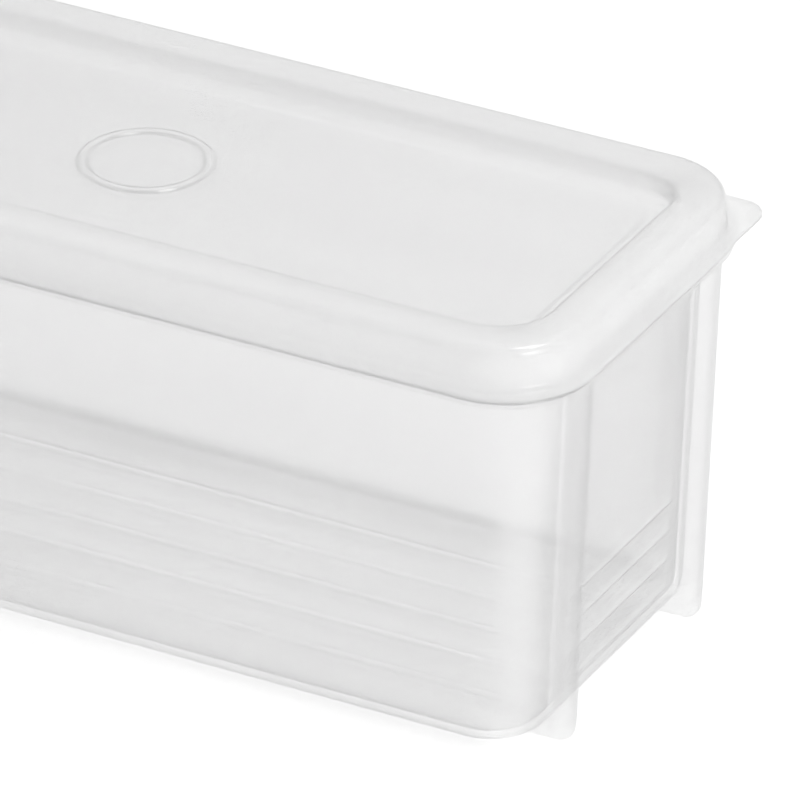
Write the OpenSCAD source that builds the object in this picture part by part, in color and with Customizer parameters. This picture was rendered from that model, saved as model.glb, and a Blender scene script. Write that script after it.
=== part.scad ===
// A long, narrow refrigerator bin with a lift-off lid.
// The origin is the middle of the footprint, with the feet standing on Z = 0 and the bin's length along X.

/* [Bin] */
// Length over the end walls, just under the rim
bin_length = 235.8; // [180:0.1:320]
// Width over the long walls, just under the rim
bin_width = 94.2; // [75:0.1:140]
// Height from the floor's underside to the top of the rim flange
bin_height = 89; // [65:0.5:130]
// Thickness of the bin's walls
bin_wall = 1.6; // [1.2:0.1:2.4]
// Thickness of the bin's floor
floor_thick = 1.8; // [1.2:0.1:3]
// Plan radius of the bin's four corners, just under the rim
corner_radius = 17; // [12:0.5:24]
// Outer radius where the walls turn into the floor
floor_edge_radius = 6; // [4:0.5:9]
// Lean of the walls, which lets the moulded bin leave its mould
wall_draft = 1.8; // [0.5:0.1:3]

/* [Rim of the bin] */
// Thickness of the flat flange round the rim
flange_thick = 1.6; // [1:0.1:2.5]
// How far the flange's edge stays inside the lid's edge
flange_inset = 0.8; // [0.4:0.1:1.5]
// Thickness of the upright rim, which goes up inside the lid
rim_wall = 1.6; // [1.2:0.1:2]

/* [Fins and feet] */
// How far each fin stands out from the end wall
fin_depth = 4.8; // [3:0.1:5.5]
// Thickness of each fin
fin_thick = 1.6; // [1.2:0.1:2.4]
// How far the feet, the fins' lower ends, reach below the floor
foot_drop = 1; // [0.5:0.1:3]
// Length of each foot, measured inward from the fin's outer edge
foot_length = 11; // [8:0.5:16]
// Radius of a foot's outer lower corner
foot_radius = 4; // [1:0.5:5]

/* [Ribs] */
// Number of grip ribs on each end wall
grip_ribs = 4; // [2:1:5]
// Height of the lowest grip rib's middle above the floor's underside
grip_rib_base = 10; // [8:0.5:14]
// Distance from one grip rib to the next
grip_rib_pitch = 7.15; // [6:0.05:8]
// Gap between the ends of a grip rib and the fins beside it
grip_rib_end_gap = 4.8; // [2:0.1:12]
// Height of a grip rib's rounded face
grip_rib_width = 4.2; // [3:0.1:5]
// How far a grip rib stands out from the wall
grip_rib_rise = 1; // [0.5:0.1:1.5]
// Number of ribs along the floor, inside the bin
floor_ribs = 5; // [1:2:5]
// Distance from one floor rib to the next
floor_rib_pitch = 12.4; // [8:0.1:13]
// Width of a floor rib
floor_rib_width = 1.6; // [1:0.1:3]
// Height of a floor rib
floor_rib_rise = 0.8; // [0.4:0.1:1.5]
// Distance from the ends of the floor ribs to the floor's rounded edge
floor_rib_end_gap = 4; // [1:0.5:20]

/* [Lid] */
// How far the lid's edge reaches past the end walls
end_overhang = 7.1; // [6.9:0.1:10]
// How far the lid's edge reaches past the long walls
side_overhang = 5.4; // [5:0.1:6]
// Height of the lid from its lower edge to the top of its raised border
lid_height = 11.4; // [9:0.1:15]
// Thickness of the lid
lid_wall = 1.4; // [1:0.1:2]
// Plan radius of the lid's corners
lid_radius = 21; // [19:0.5:26]
// Height of the lip round the lid's lower edge
lip_height = 2.3; // [1.6:0.1:3]
// How far the lip stands out from the lid's skirt
lip_reach = 2.4; // [1.5:0.1:2.6]
// Radius of the border's outer top edge
border_radius = 3; // [1.5:0.5:4]
// Distance from the lid's edge to the inner side of the raised border
border_width = 13; // [12:0.5:16]
// Depth of the recess inside the raised border
recess_depth = 5.4; // [3:0.1:6]
// Plan radius of the recess's corners
recess_radius = 12; // [8:0.5:16]
// Width of the flat margin between the border and the middle panel
margin_width = 5; // [3:0.5:8]
// Drop from the margin to the middle panel
panel_drop = 0.5; // [0.3:0.1:0.9]
// Plan radius of the middle panel's corners
panel_radius = 10; // [6:0.5:14]
// Gap left between the lid's skirt and the bin's upright rim
fit_gap = 0.3; // [0.2:0.05:0.5]
// Gap left between the lid's lower edge and the bin's flange
flange_gap = 0.6; // [0.4:0.1:1]

/* [Ring and tab] */
// Middle radius of the raised ring on the panel
ring_radius = 13.9; // [8:0.1:20]
// Width of the ring's rounded section
ring_width = 2.8; // [2:0.1:4]
// Height of the ring above the panel
ring_rise = 0.8; // [0.4:0.1:1.2]
// Thickness of the lift tab
tab_thick = 1.1; // [0.8:0.1:1.5]
// Radius of the tab's outer corner
tab_radius = 5.5; // [3:0.5:8]

/* [Hidden] */
$fn = 96;
eps = 0.01;

// Heights above the surface that the feet stand on
floor_z = foot_drop;
flange_z = floor_z + bin_height;
lid_z = flange_z + flange_gap;
lid_top_z = lid_z + lid_height;
ceiling_z = lid_top_z - lid_wall;
margin_z = lid_top_z - recess_depth;
panel_z = margin_z - panel_drop;

// Half sizes of the bin and the lid
half_length = bin_length / 2;
half_width = bin_width / 2;
lid_half_length = half_length + end_overhang;
lid_half_width = half_width + side_overhang;

// Where things lie, measured inward from the lid's edge
skirt_inner = lip_reach + lid_wall;
rim_outer = skirt_inner + fit_gap;
rim_inner = rim_outer + rim_wall;

lean = tan(wall_draft);
wall_run = lean * (bin_height - floor_edge_radius);
fin_y = half_width - corner_radius;
fin_run = lean * (bin_height + foot_drop);
grip_rib_length = 2 * fin_y - fin_thick - 2 * grip_rib_end_gap;

// Sweeps its child section round a rounded rectangle's corner centres, which lie at core_x and core_y.
// The section's x is the distance outward from a corner's centre, and its y is height.
module swept(core_x, core_y) {
    for (sx = [-1, 1], sy = [-1, 1])
        translate([sx * core_x, sy * core_y, 0])
            rotate_extrude()
                children();
    for (side = [0, 1])
        mirror([0, side, 0])
            translate([0, core_y, 0])
                rotate([90, 0, 90])
                    linear_extrude(2 * core_x, center = true)
                        children();
    for (side = [0, 1])
        mirror([side, 0, 0])
            translate([core_x, 0, 0])
                rotate([90, 0, 0])
                    linear_extrude(2 * core_y, center = true)
                        children();
}

// The middle that a sweep leaves open
module core(core_x, core_y, low, high) {
    translate([-core_x, -core_y, low])
        cube([2 * core_x, 2 * core_y, high - low]);
}

// A block with upright sides and rounded plan corners
module block(half_x, half_y, radius, low, high) {
    core_x = half_x - radius;
    core_y = half_y - radius;
    swept(core_x, core_y)
        translate([0, low])
            square([radius, high - low]);
    core(core_x, core_y, low, high);
}

// A block set in from the lid's edge, with corners that share the lid's corner centres
module inset_block(inset, low, high) {
    block(lid_half_length - inset, lid_half_width - inset, lid_radius - inset, low, high);
}

// The bin's tapered body with its rounded lower edge. Inside, inset is the wall's thickness.
module tub(inset, low, high) {
    core_x = half_length - corner_radius;
    core_y = half_width - corner_radius;
    edge = floor_edge_radius - inset;
    base = corner_radius - inset - wall_run;
    top = base + lean * (high - floor_z - floor_edge_radius);
    swept(core_x, core_y) {
        translate([base - edge, low + edge])
            circle(edge);
        polygon([[0, low], [base - edge, low], [base - edge, low + edge], [base, low + edge],
                 [top, high], [0, high]]);
    }
    core(core_x, core_y, low, high);
}

// One fin, which runs down an end wall and ends in a foot
module fin() {
    outer = half_length + fin_depth;
    bottom = outer - fin_run;
    translate([0, fin_y, 0])
        rotate([90, 0, 0])
            linear_extrude(fin_thick, center = true) {
                polygon([[bottom - foot_length, floor_z + floor_edge_radius], [bottom - foot_length, 0],
                         [bottom - foot_radius, 0], [bottom - foot_radius, foot_radius],
                         [bottom, foot_radius], [outer, flange_z - eps],
                         [half_length - bin_wall, flange_z - eps]]);
                translate([bottom - foot_radius, foot_radius])
                    circle(foot_radius);
            }
}

// One rounded grip rib across the end wall, at height z
module grip_rib(z) {
    face = half_length - lean * (flange_z - z);
    bend = (grip_rib_width * grip_rib_width / 4 + grip_rib_rise * grip_rib_rise) / (2 * grip_rib_rise);
    intersection() {
        translate([face + grip_rib_rise - bend, 0, z])
            rotate([90, 0, 0])
                cylinder(h = grip_rib_length, r = bend, center = true);
        translate([face - bin_wall / 2, -grip_rib_length / 2, z - bend])
            cube([bin_wall / 2 + grip_rib_rise, grip_rib_length, 2 * bend]);
    }
}

// The ribs along the inside of the floor
module floor_rib_set() {
    rib_half = half_length - wall_run - floor_edge_radius - floor_rib_end_gap;
    for (i = [0 : floor_ribs - 1])
        translate([-rib_half, (i - (floor_ribs - 1) / 2) * floor_rib_pitch - floor_rib_width / 2, floor_z])
            cube([2 * rib_half, floor_rib_width, floor_thick + floor_rib_rise]);
}

// The bin, moulded in one piece with its rim, fins, feet and ribs
module bin() {
    color([0.93, 0.94, 0.94, 0.55]) {
        difference() {
            union() {
                tub(0, floor_z, flange_z);
                inset_block(flange_inset, flange_z - flange_thick, flange_z);
                inset_block(rim_outer, flange_z - flange_thick, ceiling_z);
                for (sx = [0, 1], sy = [0, 1])
                    mirror([sx, 0, 0])
                        mirror([0, sy, 0])
                            fin();
                for (sx = [0, 1], i = [0 : grip_ribs - 1])
                    mirror([sx, 0, 0])
                        grip_rib(floor_z + grip_rib_base + i * grip_rib_pitch);
            }
            tub(bin_wall, floor_z + floor_thick, flange_z + eps);
            inset_block(rim_inner, flange_z, ceiling_z + 1);
        }
        floor_rib_set();
    }
}

// The lid's outer shape: the lip round its edge, and the skirt that rises to the border's rounded top
module lid_outside() {
    skirt = lid_radius - lip_reach;
    core_x = lid_half_length - lid_radius;
    core_y = lid_half_width - lid_radius;
    inset_block(0, lid_z, lid_z + lip_height);
    swept(core_x, core_y) {
        translate([0, lid_z])
            square([skirt, lid_height - border_radius]);
        translate([0, lid_z])
            square([skirt - border_radius, lid_height]);
        translate([skirt - border_radius, lid_top_z - border_radius])
            circle(border_radius);
    }
    core(core_x, core_y, lid_z, lid_top_z);
}

// The recess inside the border, grown outward by grow and lowered by it
module recess(grow) {
    inset = border_width - grow;
    panel_inset = border_width + margin_width - grow;
    block(lid_half_length - inset, lid_half_width - inset, recess_radius + grow,
          margin_z - grow, lid_top_z + 1);
    block(lid_half_length - panel_inset, lid_half_width - panel_inset, panel_radius + grow,
          panel_z - grow, lid_top_z + 1);
}

// The raised ring in the middle of the panel
module ring() {
    bend = (ring_width * ring_width / 4 + ring_rise * ring_rise) / (2 * ring_rise);
    intersection() {
        translate([0, 0, panel_z + ring_rise - bend])
            rotate_extrude()
                translate([ring_radius, 0])
                    circle(bend);
        translate([0, 0, panel_z - lid_wall / 2])
            cylinder(h = lid_wall / 2 + ring_rise, r = ring_radius + ring_width);
    }
}

// The flat tab that squares off one corner of the lip, for lifting the lid
module tab() {
    reach = lid_radius - tab_radius;
    translate([lid_half_length - lid_radius, lid_half_width - lid_radius, lid_z + lip_height - tab_thick])
        difference() {
            union() {
                cube([lid_radius, reach, tab_thick]);
                cube([reach, lid_radius, tab_thick]);
                translate([reach, reach, 0])
                    cylinder(h = tab_thick, r = tab_radius);
            }
            translate([0, 0, -1])
                cylinder(h = tab_thick + 2, r = lid_radius - lip_reach - eps);
        }
}

// The lid, moulded in one piece with its ring and tab
module lid() {
    color([0.95, 0.95, 0.95, 0.75]) {
        difference() {
            lid_outside();
            recess(0);
            difference() {
                inset_block(skirt_inner, lid_z - 1, ceiling_z);
                recess(lid_wall);
            }
        }
        ring();
        tab();
    }
}

bin();
lid();
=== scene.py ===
import bmesh
import bpy
import numpy as np
from mathutils import Matrix, Vector


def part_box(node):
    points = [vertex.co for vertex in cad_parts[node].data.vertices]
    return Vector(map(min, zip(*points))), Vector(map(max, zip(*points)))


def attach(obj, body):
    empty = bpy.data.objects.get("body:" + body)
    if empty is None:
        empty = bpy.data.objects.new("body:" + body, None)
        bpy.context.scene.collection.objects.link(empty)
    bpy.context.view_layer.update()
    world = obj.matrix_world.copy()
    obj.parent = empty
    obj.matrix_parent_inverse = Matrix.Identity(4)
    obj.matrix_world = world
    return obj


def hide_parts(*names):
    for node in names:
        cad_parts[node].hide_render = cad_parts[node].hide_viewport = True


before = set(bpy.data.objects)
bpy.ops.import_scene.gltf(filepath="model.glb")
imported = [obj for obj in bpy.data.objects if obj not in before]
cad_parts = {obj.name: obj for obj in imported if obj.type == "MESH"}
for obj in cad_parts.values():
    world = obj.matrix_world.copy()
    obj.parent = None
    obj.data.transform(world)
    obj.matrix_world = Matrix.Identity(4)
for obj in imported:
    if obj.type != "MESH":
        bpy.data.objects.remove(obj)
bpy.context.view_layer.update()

MM = 0.001

# The bin.
# One injection moulding in natural polypropylene: thin drafted walls, a flange and an upright rim round the
# top, two fins on each end wall that end in the feet, grip ribs between the fins, and ribs along the floor.

bin_high = np.array(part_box("bin")[1]) / MM
lid_low, lid_high = (np.array(corner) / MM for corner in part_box("lid"))
lid_half = lid_high[:2]

# Sizes in millimetres. DRAFT is how far a wall leans out for each millimetre of height.
BIN_CORNER = 17.0
BIN_WALL = 1.6
DRAFT = np.tan(np.radians(1.8))
END_OVERHANG = 7.1
SIDE_OVERHANG = 5.4
FLOOR_EDGE = 6.0
FLOOR_THICK = 1.8
FOOT_DROP = 1.0
LID_CORNER = 21.0
LID_WALL = 1.4
LID_GAP = 0.6
FLANGE_INSET = 0.8
FLANGE_THICK = 1.6
FLANGE_FILLET = 0.8
FLANGE_LOWER_EDGE = 0.5
FLANGE_UPPER_EDGE = 0.6
FLANGE_INNER_EDGE = 0.5
RIM_OUTER = 4.1
RIM_INNER = 5.7
RIM_CLEARANCE = 0.15
RIM_FOOT = 0.4
RIM_EDGE = 0.6
FIN_HALF = 0.8
FOOT_LENGTH = 11.0
FOOT_CORNER = 4.0
FOOT_HEEL = 0.9
GRIP_HEIGHTS = 11.0 + 7.15 * np.arange(4)
GRIP_HALF_HEIGHT = 2.1
GRIP_RISE = 1.0
GRIP_HALF_LENGTH = 24.5
GRIP_END = 1.6
FLOOR_RIB_PITCH = 12.4
FLOOR_RIB_RISE = 0.7
FLOOR_RIB_HALF_WIDTH = 1.25
FLOOR_RIB_REACH = 100.0
FLOOR_RIB_END = 1.5

flange_top = lid_low[2] - LID_GAP
tub_half = lid_half - (END_OVERHANG, SIDE_OVERHANG)
tub_core = tub_half - BIN_CORNER
fin_y = tub_core[1]


def turn(across, up, radius, start, end, steps):
    """Points on an arc of a section, centred at (across, up), between two angles in degrees."""
    angle = np.radians(np.linspace(start, end, steps))
    return np.stack([across + radius * np.cos(angle), up + radius * np.sin(angle)], 1)


def run(start, end, steps):
    """Evenly spaced points on a straight stretch of a section, both ends included."""
    return np.linspace(start, end, steps)


def loops(half, radius, along_x, along_y, corner_steps, squared=None):
    """One closed loop per row round a rounded rectangle, anticlockwise from the low end of the +X side.

    half is the half size of each row and radius its corner radius. The columns on the sides stay at the
    places in along_x and along_y on every row. A corner's columns are spread evenly over what lies between
    the last columns of two sides: straight, arc, straight. squared gives the radius of the corner at
    +X +Y where it differs. Returns plan positions, rows by columns by two.
    """
    rows = len(half)
    share = np.linspace(0, 1, corner_steps + 2)[1:-1]

    def corner(size, bend):
        centre = size - bend[:, None]
        end_x, end_y = along_x[-1], along_y[-1]
        first = np.arcsin(np.clip((end_y - centre[:, 1]) / np.maximum(bend, 1e-9), 0, 1))
        last = np.arccos(np.clip((end_x - centre[:, 0]) / np.maximum(bend, 1e-9), 0, 1))
        before = np.maximum(centre[:, 1] - end_y, 0)
        after = np.maximum(centre[:, 0] - end_x, 0)
        arc = bend * np.maximum(last - first, 0)
        gone = share * (before + arc + after)[:, None]
        on_arc = np.clip(gone - before[:, None], 0, arc[:, None])
        angle = first[:, None] + on_arc / np.maximum(bend, 1e-9)[:, None]
        x = centre[:, :1] + bend[:, None] * np.cos(angle)
        y = centre[:, 1:] + bend[:, None] * np.sin(angle)
        y = y - np.maximum(before[:, None] - gone, 0)
        x = x - np.maximum(gone - (before + arc)[:, None], 0)
        return np.stack([x, y], 2)

    def side(size_across, centre_along, bend, along):
        past = np.clip((np.abs(along) - centre_along[:, None]) / np.maximum(bend, 1e-9)[:, None], 0, 1)
        across = size_across[:, None] - bend[:, None] * (1 - np.sqrt(1 - past**2))
        return across, np.broadcast_to(along, across.shape)

    right, right_y = side(half[:, 0], half[:, 1] - radius, radius, along_y)
    back, back_x = side(half[:, 1], half[:, 0] - radius, radius, along_x)
    plain = corner(half, radius)
    tabbed = plain if squared is None else corner(half, squared)
    flip_x, flip_y = np.array([-1, 1]), np.array([1, -1])
    return np.concatenate([
        np.stack([right, right_y], 2), tabbed,
        np.stack([back_x, back], 2)[:, ::-1], plain[:, ::-1] * flip_x,
        np.stack([-right, right_y], 2)[:, ::-1], -plain,
        np.stack([back_x, -back], 2), plain[:, ::-1] * flip_y], 1)


WELD = 0.004 * MM
SLIVER = 0.002 * MM


def shell(name, grid, top, bottom, along_x, along_y):
    """Closes a stack of loops into one solid: each loop joins the next by a band of four-sided faces.

    grid is rows by columns by three, from the middle of one face round the outside to the middle of the
    other. Its first and last loops are the outlines of two flat patches, bottom and top, which are grids of
    heights over along_x and along_y. Points closer than WELD are joined.
    """
    rows, columns = grid.shape[:2]
    index = np.arange(rows * columns).reshape(rows, columns)
    after = np.roll(index, -1, 1)
    faces = [np.stack([index[:-1], after[:-1], after[1:], index[1:]], 2).reshape(-1, 4)]
    points = [grid.reshape(-1, 3)]
    used = rows * columns
    x, y = np.meshgrid(along_x, along_y, indexing="ij")
    for heights in (bottom, top):
        points.append(np.stack([x, y, heights], 2).reshape(-1, 3))
        cell = np.arange(x.size).reshape(x.shape) + used
        corners = [cell[:-1, :-1], cell[1:, :-1], cell[1:, 1:], cell[:-1, 1:]]
        faces.append(np.stack(corners, 2).reshape(-1, 4))
        used += x.size
    mesh = bpy.data.meshes.new(name)
    mesh.from_pydata(np.concatenate(points) * MM, [], np.concatenate(faces))
    joined = bmesh.new()
    joined.from_mesh(mesh)
    bmesh.ops.remove_doubles(joined, verts=joined.verts, dist=WELD)
    bmesh.ops.dissolve_degenerate(joined, edges=joined.edges, dist=SLIVER)
    bmesh.ops.recalc_face_normals(joined, faces=joined.faces)
    joined.to_mesh(mesh)
    joined.free()
    mesh.shade_smooth()
    piece = bpy.data.objects.new(name, mesh)
    bpy.context.scene.collection.objects.link(piece)
    even = piece.modifiers.new("Even shading", "WEIGHTED_NORMAL")
    even.keep_sharp = True
    return piece


def bump_profile(distance, half_width):
    """A rounded ridge: 1 at its middle, falling along a cosine to 0 at half_width."""
    return 0.5 + 0.5 * np.cos(np.pi * np.clip(np.abs(distance) / half_width, 0, 1))


# Columns round each fin, from its root to its edge. FIN_SIDE is how far each stands outside the fin's side at
# first, FIN_SHARE how far it goes from the wall to the fin's outline, and FIN_STEP what rounds root and edge.
FIN_SIDE = np.array([0.55, 0.2, 0.0, 0.0, 0.0, 0.0, -0.12, -0.4])
FIN_SHARE = np.array([0.0, 0.0, 0.0, 0.33, 0.67, 1.0, 1.0, 1.0])
FIN_STEP = np.array([0.0, 0.15, 0.55, 0.0, 0.0, -0.4, -0.12, 0.0])
fin_columns = np.concatenate([fin_y - FIN_HALF - FIN_SIDE, (fin_y + FIN_HALF + FIN_SIDE)[::-1]])
fin_share = np.concatenate([FIN_SHARE, FIN_SHARE[::-1]])
fin_step = np.concatenate([FIN_STEP, FIN_STEP[::-1]])

# Columns between the fins: nine over each floor rib, six over each end of the grip ribs, and an even spread
rib_middles = FLOOR_RIB_PITCH * np.arange(-2, 3)
rib_columns = (rib_middles[:, None] + np.linspace(-1.3, 1.3, 9)).ravel()
grip_end_columns = GRIP_HALF_LENGTH + np.linspace(-GRIP_END, 0.4, 6)
SPREAD_END = 22
BY_THE_FINS = [26.0, -26.0, 27.3, -27.3]
inner_columns = np.unique(np.concatenate([
    rib_columns[np.abs(rib_columns) < SPREAD_END + 1], np.linspace(-SPREAD_END, SPREAD_END, SPREAD_END + 1),
    grip_end_columns, -grip_end_columns, BY_THE_FINS]).round(3))
core_y = fin_y + FIN_HALF + 0.6
bin_y = np.concatenate([[-core_y], -fin_columns[::-1], inner_columns, fin_columns, [core_y]])

# Columns along the bin: close together where the floor ribs end
core_x = tub_core[0] + 1.5
rib_fade = np.linspace(95, 99, 5)
bin_x = np.concatenate([[-core_x], -rib_fade[::-1], np.linspace(-90, 90, 31), rib_fade, [core_x]])
CORNER_STEPS = 22


def tub_row(section):
    """Half sizes and corner radii of loops that share the tub's corner centres. section is the distance
    outward from those centres, and height."""
    return tub_core + section[:, :1], section[:, 0], section[:, 1]


def lid_row(section):
    """Half sizes and corner radii of loops set in from the lid's edge. section is that inset, and height."""
    return lid_half - section[:, :1], LID_CORNER - section[:, 0], section[:, 1]


def stacked(*parts):
    """Joins the rows of several stretches, each as half sizes, radii and heights."""
    return [np.concatenate(p) for p in zip(*parts)]


SHARP = 1e-6


def patch_row(height):
    """The sharp rectangle where a flat patch meets the loops round it."""
    return np.array([[core_x, core_y]]), np.array([SHARP]), np.array([height])


wall_foot = BIN_CORNER - DRAFT * (flange_top - FOOT_DROP - FLOOR_EDGE)
bend_top = FOOT_DROP + FLOOR_EDGE
flange_under = flange_top - FLANGE_THICK


def wall_at(height):
    """How far the outer wall face stands from the corner centres at a height."""
    return wall_foot + DRAFT * (height - bend_top)


def end_wall_at(height):
    """How far the outer face of an end wall stands from the middle of the bin at a height."""
    return tub_half[0] - DRAFT * (flange_top - height)


# Rows up the outside: round the floor's edge, closely up to the top of the grip ribs, then wider apart
BEND_ROWS = 18
GRIP_ROW_PITCH = 0.42
GRIP_ROWS_TOP = 36
grip_rows = np.arange(bend_top + 0.3, GRIP_ROWS_TOP, GRIP_ROW_PITCH)
wall_rows = np.concatenate([grip_rows, np.linspace(GRIP_ROWS_TOP + 2, flange_under - FLANGE_FILLET, 9)])
tub_outside = np.concatenate([
    turn(wall_foot - FLOOR_EDGE, bend_top, FLOOR_EDGE, -90, 0, BEND_ROWS),
    np.stack([wall_at(wall_rows), wall_rows], 1),
    turn(wall_at(flange_under) + FLANGE_FILLET, flange_under - FLANGE_FILLET, FLANGE_FILLET, 180, 90, 5)])

# Over the flange and the rim. The first number is an inset, so a negative radius puts an arc outward of its
# centre.
CLEAR = 2.0
rim_top = lid_high[2] - LID_WALL - RIM_CLEARANCE
flange_and_rim = np.concatenate([
    turn(FLANGE_INSET + FLANGE_LOWER_EDGE, flange_under + FLANGE_LOWER_EDGE, -FLANGE_LOWER_EDGE, 90, 0, 4),
    turn(FLANGE_INSET + FLANGE_UPPER_EDGE, flange_top - FLANGE_UPPER_EDGE, -FLANGE_UPPER_EDGE, 0, -90, 4),
    turn(RIM_OUTER - RIM_FOOT, flange_top + RIM_FOOT, RIM_FOOT, -90, 0, 4),
    run((RIM_OUTER, flange_top + CLEAR), (RIM_OUTER, rim_top - CLEAR), 3),
    turn(RIM_OUTER + RIM_EDGE, rim_top - RIM_EDGE, -RIM_EDGE, 0, -90, 4),
    turn(RIM_INNER - RIM_EDGE, rim_top - RIM_EDGE, RIM_EDGE, 90, 0, 4),
    run((RIM_INNER, rim_top - CLEAR), (RIM_INNER, flange_top + CLEAR), 3),
    turn(RIM_INNER + RIM_FOOT, flange_top + RIM_FOOT, -RIM_FOOT, 0, 90, 4)])

# Down the inside to the floor
inner_foot = wall_foot - BIN_WALL
inner_top = inner_foot + DRAFT * (flange_top - FLANGE_INNER_EDGE - bend_top)
inner_edge = FLOOR_EDGE - BIN_WALL
floor_top = FOOT_DROP + FLOOR_THICK
inner_bend_top = floor_top + inner_edge
inner_wall_foot = inner_foot + DRAFT * (inner_bend_top - bend_top)
inner_start = (inner_top - DRAFT * CLEAR, flange_top - (FLANGE_INNER_EDGE + CLEAR))
tub_inside = np.concatenate([
    turn(inner_top + FLANGE_INNER_EDGE, flange_top - FLANGE_INNER_EDGE, FLANGE_INNER_EDGE, 90, 180, 4),
    run(inner_start, (inner_wall_foot, inner_bend_top), 16),
    turn(inner_wall_foot - inner_edge, inner_bend_top, inner_edge, 0, -90, 12)[1:]])
half, radius, height = stacked(patch_row(FOOT_DROP), tub_row(tub_outside), lid_row(flange_and_rim),
                               tub_row(tub_inside), patch_row(floor_top))
plan = loops(half, radius, bin_x, bin_y, CORNER_STEPS)
bin_grid = np.concatenate([plan, np.broadcast_to(height[:, None, None], plan.shape[:2] + (1,))], 2)

# Grip ribs: rows of the outer wall pushed outward as rounded ridges, whose ends are quarter circles
GRIP_BLEND = 0.5
outer_rows = slice(1, 1 + len(tub_outside))
rise = sum(bump_profile(height[outer_rows] - z, GRIP_HALF_HEIGHT + GRIP_BLEND) for z in GRIP_HEIGHTS)
from_end = GRIP_HALF_LENGTH + 0.2 - np.abs(plan[outer_rows, :, 1])
across = np.clip(from_end / GRIP_END, 0, 1)
on_end = np.abs(plan[outer_rows, :, 0]) > tub_core[0] + 5
lift = GRIP_RISE * rise[:, None] * np.sqrt(1 - (1 - across) ** 2) * on_end
bin_grid[outer_rows, :, 0] += lift * np.sign(plan[outer_rows, :, 0])

# Fins: the columns beside and over each fin reach out to the fin's outline, which runs down the end wall,
# round the foot's corner, along the foot's underside and up to the floor. Where the fin stands out by less
# than FIN_BLEND, the rounding of its root and edge shrinks with it.
FIN_BLEND = 1.6
fin_foot = bin_high[0] - DRAFT * (flange_top - 0.01)
foot_path = np.concatenate([
    run((fin_foot + DRAFT * bend_top, bend_top), (fin_foot + DRAFT * FOOT_CORNER, FOOT_CORNER + 0.8), 3),
    turn(fin_foot - FOOT_CORNER, FOOT_CORNER, FOOT_CORNER, 0, -90, 8)[1:],
    run((fin_foot - FOOT_CORNER - 1.5, 0), (fin_foot - FOOT_LENGTH + 1.5, 0), 3),
    turn(fin_foot - FOOT_LENGTH + FOOT_HEEL, FOOT_HEEL, FOOT_HEEL, -90, -180, 5)])
assert len(foot_path) == BEND_ROWS
above = height[1 + BEND_ROWS:1 + len(tub_outside)]
fin_path = np.concatenate([foot_path[::-1], np.stack([fin_foot + DRAFT * above, above], 1)])
base = np.stack([np.abs(bin_grid[outer_rows, :, 0]), bin_grid[outer_rows, :, 2]], 2)
right_side = np.arange(len(bin_y))
left_side = right_side[::-1] + len(bin_y) + 2 * CORNER_STEPS + len(bin_x)
first_fin = 1
last_fin = len(bin_y) - 1 - len(fin_columns)
for side_columns in (right_side, left_side):
    for start, order in ((first_fin, -1), (last_fin, 1)):
        chosen = side_columns[start:start + len(fin_columns)]
        share, step = fin_share[::order], fin_step[::order]
        reach = fin_path[:, None] - base[:, chosen]
        length = np.linalg.norm(reach, axis=2, keepdims=True)
        small = np.minimum(1, length / FIN_BLEND)
        moved = reach / np.maximum(length, 1e-9) * (length * share[:, None] + small * step[:, None])
        bin_grid[outer_rows, chosen, 0] += moved[:, :, 0] * np.sign(bin_grid[outer_rows, chosen, 0])
        bin_grid[outer_rows, chosen, 2] += moved[:, :, 1]

# Floor ribs: ridges in the heights of the floor's patch, which fade out at both ends
rib_ends = np.clip((FLOOR_RIB_REACH - np.abs(bin_x)) / FLOOR_RIB_END, 0, 1)
ribs = sum(bump_profile(bin_y - y, FLOOR_RIB_HALF_WIDTH) for y in rib_middles)
floor_heights = floor_top + FLOOR_RIB_RISE * rib_ends[:, None] * ribs
under_heights = np.full((len(bin_x), len(bin_y)), FOOT_DROP)
bin_piece = shell("bin_moulding", bin_grid, floor_heights, under_heights, bin_x, bin_y)


def marked(piece, **shares):
    """Gives a piece one number per corner point for each name, worked out from the points' places in mm."""
    mesh = piece.data
    place = np.empty(3 * len(mesh.vertices))
    mesh.vertices.foreach_get("co", place)
    place = place.reshape(-1, 3) / MM
    for name, share in shares.items():
        value = np.clip(share(*place.T), 0, 1).astype(np.float32)
        mesh.attributes.new(name, "FLOAT", "POINT").data.foreach_set("value", value)


# Painted highlight on the upright corners: its middle and half width in degrees of the turn, and its strength.
HIGHLIGHT_MIDDLE = 50
HIGHLIGHT_HALF_WIDTH = 32
CORNER_HIGHLIGHT = 0.9
FIN_MILK = 0.35
RIM_MILK = 0.2


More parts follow.
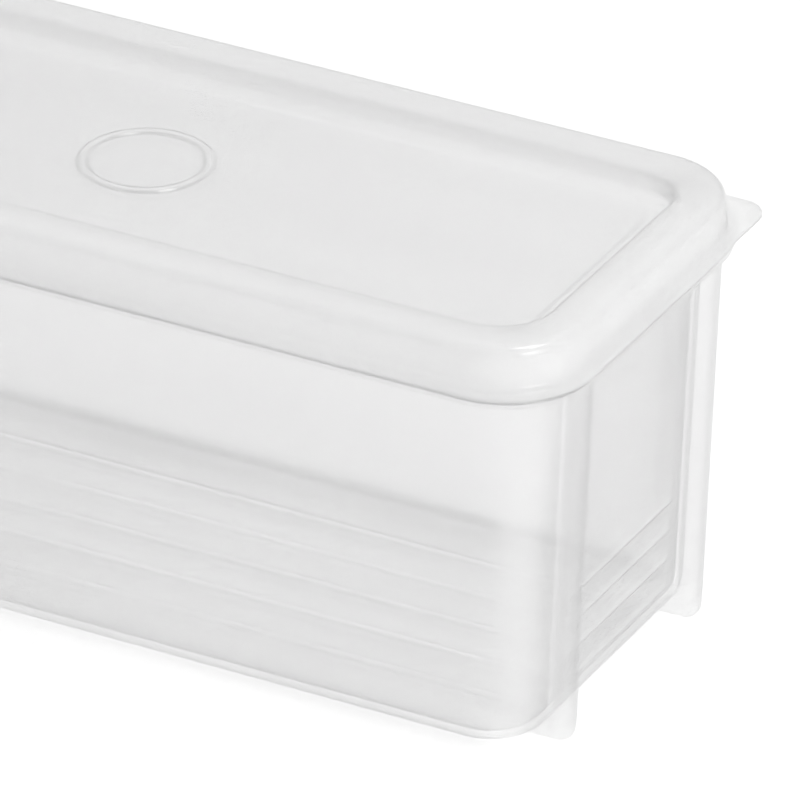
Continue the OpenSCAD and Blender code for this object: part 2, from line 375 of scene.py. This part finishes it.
def bin_milk(x, y, z):
    """More haze where the wall is thicker or was held back in the mould: the grip ribs, the fins and their
    roots, the rim and the floor ribs. The upright corners get a painted highlight: more milk, so lighter,
    where the right-hand lamp's reflection falls. Each is a smooth bump round its own place, and a corner's is
    round a middle angle of its turn and fades under the flange."""
    end = np.abs(x) - tub_core[0]
    wall = end_wall_at(z)
    from_fin = np.abs(np.abs(y) - fin_y)
    grips = sum(bump_profile(z - rib, GRIP_HALF_HEIGHT + 0.2) for rib in GRIP_HEIGHTS)
    grips = grips * (np.abs(y) < GRIP_HALF_LENGTH) * (end > BIN_CORNER - 4)
    fins = (np.abs(x) > wall + 0.5) * (from_fin < 1.5)
    # Painted highlight: the corners are milkier, so lighter, in a band where the right-hand lamp's reflection
    # falls.
    turned = np.degrees(np.arctan2(end, np.maximum(np.abs(y) - fin_y, 0)))
    corners = bump_profile(turned - HIGHLIGHT_MIDDLE, HIGHLIGHT_HALF_WIDTH) * (end > 1)
    corners = corners * np.clip((flange_under - z) / 15, 0, 1)
    rim = z > flange_under - 0.5
    roots = (np.abs(from_fin - FIN_HALF - 0.2) < 0.3) * (np.abs(np.abs(x) - wall) < 0.9)
    floor_ribs = sum(bump_profile(y - rib, FLOOR_RIB_HALF_WIDTH) for rib in rib_middles)
    floor_ribs = floor_ribs * (z > floor_top + 0.1) * (z < floor_top + 1)
    return grips + FIN_MILK * fins + CORNER_HIGHLIGHT * corners + RIM_MILK * rim + roots + floor_ribs


# Place and strength of the painted shade, and of the fins' deeper tint.
TURN_UP_MIDDLE = 9.9
TURN_UP_HALF_WIDTH = 3.2
OUTSIDE_SHARE = 0.2
FLOOR_SHADE = 0.05
RIB_SIDE_SHADE = 0.45
FIN_DEPTH = 0.06
FIN_EDGE_DEPTH = 0.3
WINDOW_SHADE = 0.35


def bin_depth(x, y, z):
    """A deeper tint, as a share of the deepest, which is mostly painted shade.

    It is a smooth bump of painted shade over the distance outward where the floor turns up into the long
    walls, which fades towards the corners and stands for the floor's shadow behind the bin seen through its
    walls; painted shade a little over the floor and more on the sides of its ribs; a little on the fins and
    more on their outer edges; a bump of painted shade between the grip ribs; and the full depth along the
    flange's outer edge, a painted shadow in the gap under the lid's lip.
    """
    # Painted shade: a dark band where the floor turns up, for the floor's shadow behind the bin seen through
    # the walls.
    outward = np.hypot(np.maximum(np.abs(x) - tub_core[0], 0), np.maximum(np.abs(y) - fin_y, 0))
    along = np.clip((tub_half[0] - 2 - np.abs(x)) / 10, 0, 1)
    inside = np.where(z > floor_top - 0.2, 1, OUTSIDE_SHARE) * (z < bend_top)
    turn_up = bump_profile(outward - TURN_UP_MIDDLE, TURN_UP_HALF_WIDTH) * inside * along
    # Painted shade over the floor and on the sides of its ribs.
    rib_sides = sum(bump_profile(np.abs(y - rib) - 1.1, 0.7) for rib in rib_middles)
    flat = (outward < 8) * (z < floor_top + 1) * (FLOOR_SHADE + RIB_SIDE_SHADE * rib_sides)
    under = z < flange_under
    on_fin = (np.abs(x) > end_wall_at(z) + 0.5) * under
    fin_edge = (np.abs(x) > bin_high[0] - DRAFT * (flange_top - z) - 0.5) * under
    # Painted shade between the grip ribs.
    windows = sum(bump_profile(z - rib - 3.6, 1.6) for rib in GRIP_HEIGHTS[:3])
    windows = windows * (np.abs(y) < GRIP_HALF_LENGTH) * (np.abs(x) > tub_half[0] - 5)
    # Painted shadow in the gap under the lid's lip, along the flange's outer edge.
    gap = (np.abs(z - flange_top + 0.2) < 0.25) * (outward > tub_half[0] - tub_core[0] + 1)
    return turn_up + flat + FIN_DEPTH * on_fin + FIN_EDGE_DEPTH * fin_edge + gap + WINDOW_SHADE * windows


marked(bin_piece, milk=bin_milk, depth=bin_depth)


def linear(hex_colour):
    """An sRGB hex value as linear red, green, blue and alpha."""
    value = np.array([int(hex_colour[i:i + 2], 16) for i in (1, 3, 5)]) / 255
    return (*np.where(value <= 0.04045, value / 12.92, ((value + 0.055) / 1.055) ** 2.4), 1.0)


def add(tree, kind, links=None, **settings):
    """Adds a node of a kind, sets its properties and input values, and links its inputs to other sockets."""
    node = tree.nodes.new(kind)
    for name, value in settings.items():
        setattr(node, name, value)
    for socket, value in (links or {}).items():
        if isinstance(value, bpy.types.NodeSocket):
            tree.links.new(value, node.inputs[socket])
        else:
            node.inputs[socket].default_value = value
    return node


# The pattern's sizes are wider than real flow marks and orange peel, which are too fine to show
FLOW_WIDTH = 12.5 * MM
FLOW_STRETCH = 0.15
GRAIN_WIDTH = MM * 10 / 7
GRAIN_HEIGHT = 0.006 * MM
CLOUD_SPREAD = 0.035
GLOSS_BELOW, GLOSS_ABOVE = 0.03, 0.04
MIRROR_SQUARE_ON, MIRROR_RISE = 0.04, 0.9
MARKED_MILK = 0.35
SLANT_MILK = 0.3
SLANT_DEPTH = 0.5
DEPTH_POWER = 1.5
FORWARD_SHARE = 0.5


def moulded_plastic(name, tint, deep_and_shade_tint, milk_tint, haze, gloss, ripple):
    """Milky moulded polyolefin, as one face of a thin wall that hardly bends what is seen through it.

    A share of the light meets haze, which scatters it back or forward through the wall. The share is the
    haze with faint flow clouds, plus the piece's milk attribute, which also holds painted highlight and
    painted light, plus the square of how slanted the view is, because the way through the wall is longer
    there. The rest passes, tinted deeper by the square of the slant, and by the depth attribute, which is
    mostly painted shade, where it is seen squarely. A clear gloss lies over both, and grows with the fifth
    power of the slant, which is Schlick's form of Fresnel's law for an IOR of about 1.5. Fine grain and flow
    ripples bend the gloss. Light from lamps passes with the tint alone, because the haze sends most of it on.
    """
    material = bpy.data.materials.new(name)
    material.use_nodes = True
    tree = material.node_tree
    tree.nodes.clear()

    def worked(operation, *values, clamp=False):
        inputs = dict(enumerate(values))
        return add(tree, "ShaderNodeMath", inputs, operation=operation, use_clamp=clamp).outputs[0]

    def from_flow(low, high):
        ends = {"From Min": 0.3, "From Max": 0.7, "To Min": low, "To Max": high}
        return add(tree, "ShaderNodeMapRange", {"Value": flow, **ends}).outputs[0]

    place = add(tree, "ShaderNodeTexCoord").outputs["Object"]
    stretched = add(tree, "ShaderNodeMapping", {
        "Vector": place, "Scale": (FLOW_STRETCH, 1.0, 1.0)}).outputs[0]
    flow = add(tree, "ShaderNodeTexNoise", {
        "Vector": stretched, "Scale": 1 / FLOW_WIDTH, "Detail": 1.0}).outputs[0]
    grain = add(tree, "ShaderNodeTexNoise", {
        "Vector": place, "Scale": 1 / GRAIN_WIDTH, "Detail": 0.0}).outputs[0]
    relief = worked("MULTIPLY_ADD", flow, ripple, worked("MULTIPLY", grain, GRAIN_HEIGHT))
    skin = add(tree, "ShaderNodeBump", {"Height": relief, "Distance": 1.0, "Strength": 1.0}).outputs[0]
    rough = from_flow(gloss - GLOSS_BELOW, gloss + GLOSS_ABOVE)
    cloud = from_flow(haze - CLOUD_SPREAD, haze + CLOUD_SPREAD)

    slant = add(tree, "ShaderNodeLayerWeight", {"Blend": 0.5}).outputs["Facing"]
    squared = worked("POWER", slant, 2.0)
    mirror = worked("MULTIPLY_ADD", worked("POWER", slant, 5.0), MIRROR_RISE, MIRROR_SQUARE_ON)
    # The milk attribute also holds painted highlight and painted light, which lighten the corners and the
    # ring's top.
    milk = add(tree, "ShaderNodeAttribute", attribute_name="milk").outputs["Fac"]
    square_on_share = worked("MULTIPLY_ADD", milk, MARKED_MILK, cloud)
    share = worked("MULTIPLY_ADD", squared, SLANT_MILK, square_on_share, clamp=True)
    # The depth attribute is mostly painted shade, shown most where the wall is seen squarely.
    depth = add(tree, "ShaderNodeAttribute", attribute_name="depth").outputs["Fac"]
    seen_depth = worked("MULTIPLY", depth, worked("POWER", worked("SUBTRACT", 1.0, slant), DEPTH_POWER))
    longer_and_shaded = worked("MULTIPLY_ADD", squared, SLANT_DEPTH, seen_depth, clamp=True)

    # The deeper tint colours both the longer way through a slanted wall and the painted shade.
    tints = {0: longer_and_shaded, 6: linear(tint), 7: linear(deep_and_shade_tint)}
    wall_tint = add(tree, "ShaderNodeMix", tints, data_type="RGBA")
    passed = add(tree, "ShaderNodeBsdfTransparent", {"Color": wall_tint.outputs[2]}).outputs[0]
    forward = add(tree, "ShaderNodeBsdfTranslucent", {"Color": linear(milk_tint)}).outputs[0]
    back = add(tree, "ShaderNodeBsdfDiffuse", {"Color": linear(milk_tint), "Normal": skin}).outputs[0]
    milky = add(tree, "ShaderNodeMixShader", {0: FORWARD_SHARE, 1: back, 2: forward}).outputs[0]
    wall = add(tree, "ShaderNodeMixShader", {0: share, 1: passed, 2: milky}).outputs[0]
    shine = add(tree, "ShaderNodeBsdfAnisotropic", {"Roughness": rough, "Normal": skin}).outputs[0]
    surface = add(tree, "ShaderNodeMixShader", {0: mirror, 1: wall, 2: shine}).outputs[0]
    lamps_pass = add(tree, "ShaderNodeBsdfTransparent", {"Color": linear(tint)}).outputs[0]
    from_lamp = add(tree, "ShaderNodeLightPath").outputs["Is Shadow Ray"]
    lit = add(tree, "ShaderNodeMixShader", {0: from_lamp, 1: surface, 2: lamps_pass}).outputs[0]
    add(tree, "ShaderNodeOutputMaterial", {"Surface": lit})
    return material


# Natural polypropylene, gloss moulded: clear enough to see the floor through a wall, with a slight milkiness
# The second grey is the deeper tint, which also colours the painted shade.
bin_piece.data.materials.append(moulded_plastic(
    "moulded natural polypropylene", "#FBFBFB", "#C6C6C6", "#F3F3F3", haze=0.06,
    gloss=0.07, ripple=0.02 * MM))
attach(bin_piece, "bin")
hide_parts("bin")


# The lid.
# One injection moulding in natural polyethylene, milkier and softer than the bin: a lip round its edge, a
# skirt that rises to a rounded border, a recessed panel with a raised ring, and a lift tab at one corner.

LIP_HEIGHT = 2.3
LIP_REACH = 2.4
LIP_EDGE = 0.45
SKIRT_LEAN = 0.3
SKIRT_FILLET = 0.5
SKIRT_LOWER_EDGE = 0.3
CEILING_FILLET = 0.8
BORDER_RADIUS = 3.0
BORDER_WIDTH = 13.0
BORDER_INNER_EDGE = 1.8
INNER_LEAN = 0.2
MARGIN_FILLET = 1.0
RECESS_DEPTH = 5.4
RECESS_CORNER = 12.0
MARGIN = 5.0
PANEL_DROP = 0.5
PANEL_CORNER = 10.0
RING_RADIUS = 13.9
RING_HALF_WIDTH = 1.4
RING_FLAT = 0.6
RING_RISE = 0.7
TAB_THICK = 1.1
TAB_CORNER = 5.5

lid_base, lid_top = lid_low[2], lid_high[2]
lip_top = lid_base + LIP_HEIGHT
margin_top = lid_top - RECESS_DEPTH
panel_top = margin_top - PANEL_DROP
lid_core = lid_half - BORDER_WIDTH - MARGIN - PANEL_CORNER


def recess_row(section, grow=0.0):
    """Loops inside the border. section is inset and height, and the corner radius changes evenly from the
    border's to the panel's over the margin. grow shifts that change outward by the wall's thickness."""
    change = np.clip((section[:, 0] + grow - BORDER_WIDTH) / MARGIN, 0, 1)
    corner = RECESS_CORNER + (PANEL_CORNER - RECESS_CORNER) * change
    corner = corner + BORDER_WIDTH + change * MARGIN - section[:, 0]
    return lid_half - section[:, :1], corner, section[:, 1]


def lid_patch(height):
    """The sharp rectangle where the lid's panel meets the loops round it."""
    return lid_core[None, :], np.array([SHARP]), np.array([height])


# Rows from the panel's outline up the small step round it, which is half a cosine wave STEP_WIDTH wide, then
# out over the margin and the border, and down the skirt
PANEL_EDGE = BORDER_WIDTH + MARGIN
STEP_WIDTH = 1.8
step = run(0, 1, 9)
step_rise = PANEL_DROP * (0.5 - 0.5 * np.cos(np.pi * step))
step_path = np.stack([PANEL_EDGE + STEP_WIDTH / 2 - STEP_WIDTH * step, panel_top + step_rise], 1)
inner_edge_middle = BORDER_WIDTH - (INNER_LEAN + BORDER_INNER_EDGE)
inside_border = np.concatenate([
    step_path,
    run((BORDER_WIDTH + 3.5, margin_top), (BORDER_WIDTH + 1.5, margin_top), 2),
    turn(BORDER_WIDTH + MARGIN_FILLET, margin_top + MARGIN_FILLET, MARGIN_FILLET, 270, 180, 6),
    run((BORDER_WIDTH - INNER_LEAN / 2, margin_top + 1.8), (BORDER_WIDTH - INNER_LEAN, lid_top - 2.2), 3),
    turn(inner_edge_middle, lid_top - BORDER_INNER_EDGE, BORDER_INNER_EDGE, 0, 90, 8)])
outside_border = np.concatenate([
    turn(LIP_REACH + BORDER_RADIUS + SKIRT_LEAN, lid_top - BORDER_RADIUS, BORDER_RADIUS, 90, 180, 12),
    run((LIP_REACH + 0.2, lid_top - 4.2), (LIP_REACH + 0.05, lip_top + 1.2), 3),
    turn(LIP_REACH - SKIRT_FILLET, lip_top + SKIRT_FILLET, SKIRT_FILLET, 0, -90, 5)])
lip_edge = turn(LIP_EDGE, lip_top - LIP_EDGE, LIP_EDGE, 90, 180, 5)
tab_under = lip_top - TAB_THICK
skirt_inside = LIP_REACH + LID_WALL
lip_lower = np.concatenate([
    [(0, tab_under)],
    turn(LIP_EDGE, lid_base + LIP_EDGE, LIP_EDGE, 180, 270, 5),
    turn(skirt_inside - SKIRT_LOWER_EDGE, lid_base + SKIRT_LOWER_EDGE, SKIRT_LOWER_EDGE, -90, 0, 3)])

# Up the groove that takes the bin's rim, across its ceiling, and down to the panel's underside
lid_ceiling = lid_top - LID_WALL
groove = np.concatenate([
    run((skirt_inside, lid_base + 1.5), (skirt_inside, lid_ceiling - 1.6), 3),
    turn(skirt_inside + CEILING_FILLET, lid_ceiling - CEILING_FILLET, CEILING_FILLET, 180, 90, 5)])
groove_inner = BORDER_WIDTH - LID_WALL
tray = np.concatenate([
    turn(groove_inner - CEILING_FILLET, lid_ceiling - CEILING_FILLET, CEILING_FILLET, 90, 0, 5),
    run((groove_inner, lid_ceiling - 2), (groove_inner, margin_top + 0.6), 3),
    turn(groove_inner + LID_WALL, margin_top, LID_WALL, 180, 270, 6),
    [(PANEL_EDGE - 1.4, margin_top - LID_WALL), (PANEL_EDGE - 0.9, panel_top - LID_WALL)]])
parts = [lid_patch(panel_top), recess_row(inside_border), lid_row(outside_border), lid_row(lip_edge),
         lid_row(lip_lower), lid_row(groove), recess_row(tray, LID_WALL), lid_patch(panel_top - LID_WALL)]
half, radius, height = stacked(*parts)
squared = radius.copy()
lip_start = sum(len(p[1]) for p in parts[:3])
tab_rows = slice(lip_start, lip_start + len(lip_edge))
squared[tab_rows] = TAB_CORNER - (LID_CORNER - radius[tab_rows])

# Columns over the panel: close together over the ring. The ring's own height is flat within RING_FLAT of its
# middle line and falls along a cosine on both sides.
LID_CORNER_STEPS = 26
ring_side = np.linspace(-16.5, 16.5, 74)
lid_x = np.concatenate([np.linspace(-lid_core[0], -19, 14), ring_side, np.linspace(19, lid_core[0], 14)])
lid_y = np.concatenate([[-lid_core[1], -21, -18], ring_side, [18, 21, lid_core[1]]])
plan = loops(half, radius, lid_x, lid_y, LID_CORNER_STEPS, squared)

# The tab's underside is one more loop, squared like the lip above it, between the lip's edge and what is lower
under_plan = plan[lip_start + len(lip_edge) - 1]
row_after = lip_start + len(lip_edge)
plan = np.insert(plan, row_after, under_plan, 0)
height = np.insert(height, row_after, tab_under)
lid_grid = np.concatenate([plan, np.broadcast_to(height[:, None, None], plan.shape[:2] + (1,))], 2)
x, y = np.meshgrid(lid_x, lid_y, indexing="ij")
from_ring = np.abs(np.hypot(x, y) - RING_RADIUS)
ring = bump_profile(np.maximum(from_ring - RING_FLAT, 0), RING_HALF_WIDTH - RING_FLAT)
under_panel = np.full(x.shape, panel_top - LID_WALL)
lid_piece = shell("lid_moulding", lid_grid, under_panel, panel_top + RING_RISE * ring, lid_x, lid_y)

# Strength of the painted light on the ring's top and of the border's haze, then the tab's darker tint and the
# painted shade on the border and the lip's edge.
RING_TOP_LIGHT = 0.2
BORDER_MILK = 0.75
TAB_DEPTH = 0.5
BORDER_SHADE = 0.1
LIP_GAP_SHADOW = 0.8


def lid_milk(x, y, z):
    """Painted light on the ring's flat top: more milk, so it shows lighter than the ring's shaded sides. More
    haze on the border and skirt, which cool last: it grows smoothly from the foot of the border's inner wall
    outward."""
    # Painted light on the ring's flat top.
    ring_top = bump_profile(np.hypot(x, y) - RING_RADIUS, 1.2) * (z > panel_top + 0.1)
    inset = np.minimum(lid_half[0] - np.abs(x), lid_half[1] - np.abs(y))
    border = np.clip((BORDER_WIDTH + 2 - inset) / 4, 0, 1) * (z > lid_base + 0.7)
    return RING_TOP_LIGHT * ring_top + BORDER_MILK * border


def lid_depth(x, y, z):
    """A deeper tint: painted shade on the ring's sloping sides and along the border's top, which is seen
    through two walls and the rim, a painted shadow along the lip's lower edge, over the gap above the bin's
    flange, and a darker tint round the tab."""
    # Painted shade on the ring's sloping sides.
    side = bump_profile(np.abs(np.hypot(x, y) - RING_RADIUS) - 1.1, 0.6)
    tab = (x > lid_half[0] - 9) * (y > lid_half[1] - 9) * (x + y > lid_half.sum() - 9) * (z < lip_top + 0.01)
    inset = np.minimum(lid_half[0] - np.abs(x), lid_half[1] - np.abs(y))
    # Painted shade along the border's top.
    border = np.clip((z - lid_top + 4) / 3, 0, 1) * (inset < BORDER_WIDTH)
    # Painted shadow along the lip's lower edge.
    lip = z < lid_base + 0.4
    return side * (z > margin_top - 2) + TAB_DEPTH * tab + BORDER_SHADE * border + LIP_GAP_SHADOW * lip


marked(lid_piece, milk=lid_milk, depth=lid_depth)

# Natural low density polyethylene, satin moulded: milkier than the bin, so the rim inside shows only faintly
# The second grey is the deeper tint, which also colours the painted shade.
lid_piece.data.materials.append(moulded_plastic(
    "moulded natural polyethylene", "#FBFBFB", "#B8B8B8", "#F2F2F2", haze=0.3,
    gloss=0.1, ripple=0.02 * MM))
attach(lid_piece, "lid")
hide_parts("lid")


# The floor.
# A plain sheet of matt white paper, in metres and wide enough to fill the view. It lies a hair lower than the
# feet stand, so the two don't share a plane.

FLOOR_HALF = 4.0
FLOOR_BELOW = 0.0002
floor_mesh = bpy.data.meshes.new("studio_floor")
floor_corners = FLOOR_HALF * np.array([[-1, -1, 0], [1, -1, 0], [1, 1, 0], [-1, 1, 0]])
floor_mesh.from_pydata(floor_corners - (0, 0, FLOOR_BELOW), [], [(0, 1, 2, 3)])
studio_floor = bpy.data.objects.new("studio_floor", floor_mesh)
bpy.context.scene.collection.objects.link(studio_floor)
paper = bpy.data.materials.new("matt white paper")
paper.use_nodes = True
paper_shader = paper.node_tree.nodes["Principled BSDF"]
paper_shader.inputs["Base Color"].default_value = linear("#FDFDFD")
paper_shader.inputs["Roughness"].default_value = 0.9
floor_mesh.materials.append(paper)


# The light.
# A large soft box overhead and a second one to the right, in a pale surround that is dimmer at the horizon
# than overhead. The dim horizon is what the upright walls mirror and show through.

HORIZON_STRENGTH = 0.33
OVERHEAD_STRENGTH = 0.8
FULL_FROM_HEIGHT = 0.6
world = bpy.data.worlds.new("pale surround")
world.use_nodes = True
sky = world.node_tree
height_of_ray = add(sky, "ShaderNodeSeparateXYZ", {0: add(sky, "ShaderNodeTexCoord").outputs["Generated"]})
brightness = add(sky, "ShaderNodeMapRange", {
    "Value": height_of_ray.outputs["Z"], "From Min": 0.0, "From Max": FULL_FROM_HEIGHT,
    "To Min": HORIZON_STRENGTH, "To Max": OVERHEAD_STRENGTH})
sky.links.new(brightness.outputs[0], sky.nodes["Background"].inputs["Strength"])
sky.nodes["Background"].inputs["Color"].default_value = linear("#FFFFFF")
bpy.context.scene.world = world


def soft_box(name, place, aim, size, power):
    """A square area light at a place, facing a point."""
    lamp = bpy.data.lights.new(name, "AREA")
    lamp.size = size
    lamp.energy = power
    box = bpy.data.objects.new(name, lamp)
    box.location = place
    box.rotation_euler = (Vector(aim) - Vector(place)).to_track_quat("-Z", "Y").to_euler()
    bpy.context.scene.collection.objects.link(box)


soft_box("top_box", place=(0.55, 0.05, 1.5), aim=(0, 0, 0.05), size=0.55, power=7.0)
soft_box("right_box", place=(1.2, -0.6, 0.7), aim=(0.05, 0, 0.05), size=0.6, power=5.5)


# The camera.
# A long lens from the front right, a little above, with a slight roll. Angles are in degrees, distances in
# metres, and the lens in millimetres.

AZIMUTH, ELEVATION, ROLL = np.radians([27.52, 28.77, 0.63])
LENS = 499.1
DISTANCE = 2.3965
AIM = Vector((0.0626, 0.0, 0.0537))
back = Vector((np.sin(AZIMUTH) * np.cos(ELEVATION), -np.cos(AZIMUTH) * np.cos(ELEVATION), np.sin(ELEVATION)))
right = Vector((np.cos(AZIMUTH), np.sin(AZIMUTH), 0))
up = back.cross(right)
right, up = right * np.cos(ROLL) + up * np.sin(ROLL), up * np.cos(ROLL) - right * np.sin(ROLL)
lens = bpy.data.cameras.new("camera")
lens.lens = LENS
lens.sensor_width = 36
lens.clip_end = 50
camera = bpy.data.objects.new("camera", lens)
turned = Matrix((right, up, back)).transposed().to_4x4()
camera.matrix_world = Matrix.Translation(AIM + back * DISTANCE) @ turned
bpy.context.scene.collection.objects.link(camera)
bpy.context.scene.camera = camera
bpy.context.scene.view_settings.view_transform = "Standard"

# A ray can cross more than a dozen faces of the two mouldings, and turns black where it runs out of bounces.
# The denoiser works from the colours alone, because its other guides jump where a wall's haze grows.
bpy.context.scene.cycles.transparent_max_bounces = 32
bpy.context.scene.cycles.denoising_input_passes = "RGB"
